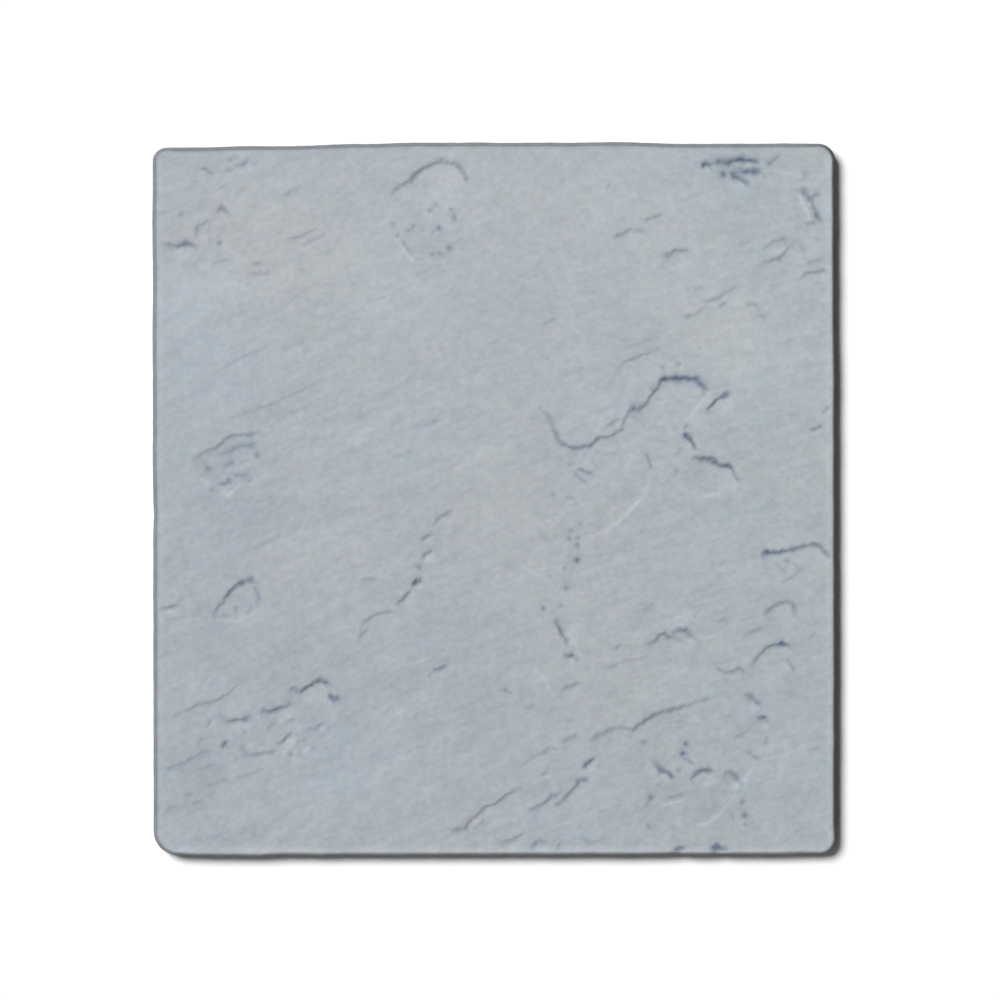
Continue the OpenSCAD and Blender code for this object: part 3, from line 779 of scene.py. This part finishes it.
# %% Cut the crumbs
crumb_depth = 0.6
for across_mille, up_mille, radius, dirt_and_shade_ink in crumbs:
    at = np.array([across_mille, up_mille]) * per_mille
    gone = np.exp(-((x - at[0]) ** 2 + (y - at[1]) ** 2) / radius ** 2)
    depth = np.maximum(depth, depth * 0.5 + crumb_depth * dirt_and_shade_ink * gone)
    # painted dark for dirt and for the shade in the pit
    dirt_and_shade = np.maximum(dirt_and_shade, dirt_and_shade_ink * gone)
print("dirty places with the crumbs", int((dirt_and_shade > 0.3).sum()))

# %% [markdown]
# Between the steps the split face isn't level either. Long low waves run along the
# grain, with shorter ripples on them. They are only tenths of a millimetre deep, and
# raking light shows them as soft bands.

# %% Waves along the grain
wave_kinds = [
    # half height in mm, how many times longer than wide, width in mm, seed
    (0.20, 5, 26, 41), (0.07, 6, 9, 42), (0.03, 4, 4.5, 43),
]
u, v = along_grain(x, y)
waves = np.zeros(len(x))
for half_height, longer, wave_width, seed in wave_kinds:
    waves += half_height * (1 + unevenness(u / longer, v, wave_width, seed))
depth += waves
print("face lies", round(depth.min(), 2), "to", round(depth.max(), 2), "mm below the slab's top")

# %% Lay the face at its height
for vert, place, d in zip(mesh.verts, flat, depth):
    vert.co = (place[0] * MM, place[1] * MM, (thick - d) * MM)
print("face has", len(mesh.faces), "faces")

# %% [markdown]
# The sides were struck off with a chisel, so they are rough, and their top edge is
# rounded by wear. They are drawn down from the rim of the face in rings, each ring a
# little further out or down than the one before, and roughened inwards only. Layers of
# numbers on the mesh tell the material where dirt and painted shade, painted highlights
# and pale fringes, and dressed edges are. The dressed edge also carries painted shade,
# most on the right, away from the lamp.


# %% Layers for dirt and painted shade, painted highlights and edges
def keep(name, numbers):
    """Keep a number with each point of the mesh, for the material to read."""
    layer = mesh.verts.layers.float.new(name)
    for vert, number in zip(mesh.verts, numbers):
        vert[layer] = number
    return layer


dirt_and_shade_layer = keep("dirt_and_shade", dirt_and_shade)
glint_layer = keep("glint", glint)
edge_and_shade_layer = keep("edge", np.zeros(len(flat)))
mesh.verts.index_update()
rim = [e for e in mesh.edges if e.is_boundary]
print("rim has", len(rim), "edges")

# %% Which way each point of the rim faces
rim_shade = 0.12


def begins(direction):
    """How quickly the arris darkens: at once along the left and the top, last at the bottom."""
    return 1.05 - 0.45 * direction[0] + 0.59 * direction[1] - 0.24 * abs(direction[1])


rim_depth = {v: thick - v.co.z / MM for e in rim for v in e.verts}
outward = {}
for v in rim_depth:
    place = np.array(v.co[:2]) / MM
    anchor = np.clip(place, -inner, inner)
    direction = (place - anchor) / np.linalg.norm(place - anchor)
    outward[v] = (Vector((*place, 0)), Vector((*direction, 0)))
    v[edge_and_shade_layer] = rim_shade * begins(direction)
print("rim has", len(outward), "points")

# %% Draw the arris and the sides down in rings
profile = [
    # out, down, roughness, all in mm
    (0.3, 0.02, 0.0), (0.8, 0.1, 0.1), (1.6, 0.4, 0.2), (2.3, 1.0, 0.2), (2.8, 1.8, 0.2),
    (3.0, 2.9, 0.2), (3.0, 5.0, 0.4), (3.0, 7.2, 0.4), (3.0, 9.4, 0.4), (3.0, 11.2, 0.25),
    (2.2, 12.0, 0.0),
]
full_drop = profile[-1][1]
ring_edges = rim
for drawn, down, rough in profile:
    made = bmesh.ops.extrude_edge_only(mesh, edges=ring_edges)["geom"]
    verts = [g for g in made if isinstance(g, bmesh.types.BMVert)]
    ring_edges = [g for g in made if isinstance(g, bmesh.types.BMEdge)]
    previous = {tuple(np.round(v.co, 9)): v for v in outward}
    followed = {}
    for vert in verts:
        source = previous[tuple(np.round(vert.co, 9))]
        followed[vert] = outward[source]
        rim_depth[vert] = rim_depth[source]
    places = np.array([[p.x, p.y] for p, _ in followed.values()])
    bumps = unevenness(places[:, 0] + down * 3, places[:, 1] - down * 2, 5.0, 51)
    bumps = rough * np.abs(bumps)
    for (vert, (place, direction)), bump in zip(followed.items(), bumps):
        top = thick - rim_depth[vert]
        z = top - (top * down / full_drop)
        spot = place + direction * (drawn - bump)
        vert.co = (spot.x * MM, spot.y * MM, z * MM)
        # the right side, away from the lamp, may go darkest: painted shade on the dressed edge
        darkest_with_shade = 0.67 + 0.33 * max(direction[0], 0) - 0.06 * max(-direction[1], 0)
        vert[edge_and_shade_layer] = min(darkest_with_shade, begins(direction) * (rim_shade + drawn) + down / 4)
        vert[dirt_and_shade_layer] = 0.0
        vert[glint_layer] = 0.0
    outward = followed
print("sides have", len(profile), "rings of", len(outward), "points")

# %% [markdown]
# The back was sawn and is flat. One face fills the last ring, and its edge is marked
# sharp so that the bevel round it doesn't smear its shading over the flat.

# %% Close the back
back = bmesh.ops.edgeloop_fill(mesh, edges=ring_edges)["faces"]
bmesh.ops.recalc_face_normals(mesh, faces=mesh.faces)
for face in mesh.faces:
    face.smooth = True
for face in back:
    face.smooth = False
    for edge in face.edges:
        edge.smooth = False
open_edges = sum(1 for e in mesh.edges if len(e.link_faces) != 2)
print("back closed with", len(back), "face,", open_edges, "open edges,",
      "volume", round(mesh.calc_volume() * 1e9), "cubic mm")

# %% [markdown]
# Extruding leaves new points and faces in no fixed order. Sorting them by their place,
# row by row, gives the same mesh every time.

# %% Sort the mesh by place
for parts, places in [(mesh.verts, [v.co for v in mesh.verts]),
                      (mesh.edges, [(e.verts[0].co + e.verts[1].co) / 2 for e in mesh.edges]),
                      (mesh.faces, [f.calc_center_median() for f in mesh.faces])]:
    x_of, y_of, z_of = np.array(places).T
    ranks = np.argsort(np.lexsort((z_of, x_of, y_of))).tolist()
    for part, rank in zip(parts, ranks):
        part.index = rank
    parts.sort()
print("sorted", len(mesh.verts), "points and", len(mesh.faces), "faces")

# %% [markdown]
# The colour of split stone drifts in soft patches, paler here and warmer there. The
# broad ones are listed one by one: each is a round stain with a middle, a size, and how
# much paler and warmer it is. Where the streaks are stronger is listed in the same way.
# All of it is kept with the mesh, for the material to read.

# %% Broad patches of colour
patches = [
    # across, up, size, paler, warmer
    (-358, 370, 90, 0.1, 0.8), (-241, 322, 70, 0.1, 0.7), (8, 20, 80, 0.1, 0.8),
    (96, -127, 70, 0.1, 0.5), (170, -267, 80, 0.0, 0.5), (155, 420, 110, 0.5, 0.1),
    (0, 400, 110, -0.3, 0.0),
    (-50, 434, 80, 0.5, 0.1), (-138, 294, 80, 0.5, 0.0), (346, 252, 90, 0.5, 0.2),
    (140, 126, 60, 0.5, 0.2), (-432, 195, 80, 0.4, -0.6), (-226, -393, 80, 0.3, -0.6),
    (-388, 0, 60, -0.3, -0.2), (-373, -134, 60, -0.3, -0.2), (-256, -267, 80, -0.4, -0.2),
    (-65, -225, 90, -0.4, -0.3), (258, 175, 60, -0.2, -0.1), (317, 55, 70, -0.15, -0.1),
    (361, 462, 60, -0.5, -0.3), (419, -197, 70, -0.25, 0.0), (243, -379, 60, -0.5, 0.0),
    (361, -365, 60, -0.1, 0.0), (-432, -365, 60, -0.7, -0.2), (-446, 378, 50, -0.5, -0.2),
    (-437, 282, 40, 0.8, -0.6), (-390, 302, 30, 0.6, -0.4), (-372, -12, 40, -0.6, -0.2),
    (-94, 355, 35, -0.4, 0.0), (316, -416, 25, -0.8, 0.0), (-398, -213, 40, -0.4, 0.0),
    (427, -367, 25, 0.8, 0.0), (475, -55, 50, 0.1, 0.5), (-378, 40, 45, -0.3, -0.1),
    (330, 250, 60, 0.2, 0.6), (400, 300, 50, -0.3, -0.3), (-480, 250, 30, 0.7, -0.3),
    (-471, -477, 25, 0.6, 0.0),
]
print(len(patches), "patches")

# %% Where the streaks are stronger
streaked = [
    # across, up, size, how much more streaked
    (-400, 200, 110, 0.7), (180, 190, 80, 0.7), (400, 330, 90, 0.5), (-420, -400, 120, 0.6),
    (420, 80, 80, 0.7), (-200, 150, 120, 0.4), (-330, -30, 120, 0.6), (230, -90, 110, 0.5),
    (-150, -350, 120, 0.5), (330, -120, 90, 0.4),
]
print(len(streaked), "streaked places")

# %% Lay the patches over the tile
everywhere = np.array([v.co[:2] for v in mesh.verts]) / MM
across = everywhere[:, 0] / (2 * half_w) * 1000
up = everywhere[:, 1] / (2 * half_l) * 1000
pale = 0.0008 * up  # the whole tile is a little paler towards its upper side
warm = np.zeros(len(up))
for middle_x, middle_y, size, paler, warmer in patches:
    soft = np.exp(-((across - middle_x) ** 2 + (up - middle_y) ** 2) / size ** 2)
    pale += paler * soft
    warm += warmer * soft
streaky = np.full(len(up), 0.45)
for middle_x, middle_y, size, more in streaked:
    streaky += more * np.exp(-((across - middle_x) ** 2 + (up - middle_y) ** 2) / size ** 2)
# and a little greener towards its right side
green = 0.1 + 0.4 * np.clip((across - 50) / 300, 0, 1)
print("patches make the face", round(pale.min(), 2), "to", round(pale.max(), 2), "paler")

# %% Pale bands just inside the lower, the right and the left arris
inside_lower = everywhere[:, 1] + half_l - 4.2
inside_right = everywhere[:, 0] - half_w + 5.0
inside_left = everywhere[:, 0] + half_w - 4.4
for off_band, paler, band_width in [(inside_lower, 2.0, 2.0), (inside_right, 1.2, 2.0),
                                    (inside_left, 0.8, 2.5)]:
    pale += paler * np.exp(-(off_band / band_width) ** 2)
print("with the bands up to", round(pale.max(), 2), "paler")

# %% Keep the colour with the mesh
keep("pale", pale)
keep("warm", warm)
keep("streaky", streaky)
keep("green", green)
print("kept", len(mesh.verts.layers.float), "layers on", len(mesh.verts), "points")

# %% Make the tile
tile_data = bpy.data.meshes.new("riven_tile")
mesh.to_mesh(tile_data)
mesh.free()
tile = bpy.data.objects.new("riven_tile", tile_data)
bpy.context.scene.collection.objects.link(tile)
tile_data.calc_loop_triangles()
print("the tile has", len(tile_data.loop_triangles), "triangles")

# %% [markdown]
# One material covers the whole stone. Its streaks are ordinary noise, which a Mapping
# node turns and stretches along the grain. Soft mottling, a fine speckle and the patches
# placed above set how pale each spot is. Dirt and painted shade darken the feet of the
# steps, the dark marks and the crumbs, and painted highlights lighten the pale marks.
# The dressed edge is darker than the face, and darker still on the right, away from the
# lamp, where shade is painted on it. The relief that is too fine for the mesh is left
# to a bump, which reads the same noise as the colour does.

# %% Stone: where things are
stone_material = bpy.data.materials.new("riven_stone")
stone = Recipe(stone_material, "OutputMaterial")
sideways = stone.node("SeparateXYZ", {0: stone.node("TexCoord", output="Object")})
upwards, height_there = [Value(stone, out) for out in sideways.socket.node.outputs[1:]]
# the same bend of the grain as in the mesh's waves
bent = upwards + (sideways * sideways + sideways * upwards) * bend
where = stone.node("CombineXYZ", {0: sideways, 1: bent, 2: height_there})
print("stone has", len(stone.tree.nodes), "nodes so far")


# %% Stone: what it reads and how it varies
def kept(name):
    """A layer of numbers that was kept with the mesh."""
    return stone.node("Attribute", output="Fac", attribute_name=name)


def noise(length, width, detail, shift=0.0):
    """Noise with features length by width metres, the length along the grain. Even round 0."""
    place = stone.node("Mapping", {
        "Vector": where, "Location": (shift, shift, 0), "Rotation": (0, 0, grain),
        "Scale": (length, width, width)}, vector_type="TEXTURE")
    made = stone.node("TexNoise", {
        "Vector": place, "Scale": 1.0, "Detail": detail, "Roughness": 0.5})
    return (made - 0.5) * 2


streaks = noise(0.055, 0.0085, 2)
fine_streaks = noise(0.022, 0.0038, 2, shift=0.3)
streaky = kept("streaky") + noise(0.10, 0.05, 1, shift=0.6) * 1.2
mottle = noise(0.060, 0.040, 3, shift=0.1)
blotch = noise(0.010, 0.008, 3, shift=0.2)
speckle = noise(0.0040, 0.0034, 2, shift=0.4)
tint = noise(0.0050, 0.0040, 2, shift=0.7)
blush = noise(0.0065, 0.0050, 2, shift=0.8)
print("stone has", len(stone.tree.nodes), "nodes so far")

# %% Stone: colour
tone = 0.5 + (streaks * 0.145 + fine_streaks * 0.16) * streaky + mottle * 0.07 + blotch * 0.19
tone = tone + speckle * 0.25 + kept("pale") * 0.14
warmth = 0.5 + kept("warm") * 0.35 + noise(0.09, 0.05, 2, shift=0.5) * 0.3
warmth = warmth + noise(0.016, 0.011, 2, shift=0.9) * 0.42 + tint * 0.6
cool = stone.mix(tone, colour(141, 152, 163), colour(188, 198, 208))
tan = stone.mix(tone, colour(150, 155, 158), colour(198, 201, 203))
ground = stone.mix(warmth, cool, tan)
# a faint drift between green and rose, so that no spot is a plain grey
faint = stone.mix(0.5 + blush - kept("green") * 0.35,
                  (0.974, 1.018, 0.982, 1), (1.026, 0.982, 1.018, 1))
ground = stone.mix(1.0, ground, faint, "MULTIPLY")
# dirt and painted shade on the feet of the steps, the dark marks and the crumbs
dirty_and_shaded = stone.mix(kept("dirt_and_shade") * 0.85, ground, colour(86, 99, 127))
# painted highlights on the pale marks, and the pale fringes by the feet
dirty_and_shaded = stone.mix(kept("glint") * 0.6, dirty_and_shaded, colour(203, 209, 213))
# the sides are dark stone, made darker still as painted shade
side_tone = 0.5 + blotch * 0.6 + speckle * 0.3
side_and_shade_colour = stone.mix(side_tone, colour(82, 86, 89), colour(104, 107, 110))
final_colour = stone.mix(kept("edge"), dirty_and_shaded, side_and_shade_colour)
print("stone has", len(stone.tree.nodes), "nodes so far")

# %% Stone: feel
roughness = 0.74 + mottle * 0.06 + speckle * 0.05
height = streaks * 0.065 + fine_streaks * 0.05 + blotch * 0.085 + speckle * 0.055
bump = stone.node("Bump", {"Strength": 1.0, "Distance": 0.001, "Height": height})
shader = stone.node("BsdfPrincipled", {
    "Base Color": final_colour, "Roughness": roughness, "Specular IOR Level": 0.3,
    "Normal": bump})
stone.finish(shader)
tile_data.materials.append(stone_material)
print("stone has", len(stone.tree.nodes), "nodes")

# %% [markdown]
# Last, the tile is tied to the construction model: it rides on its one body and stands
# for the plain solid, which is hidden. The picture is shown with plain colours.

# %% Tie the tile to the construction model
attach(tile, "root")
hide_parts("tile")
bpy.context.scene.view_settings.view_transform = "Standard"
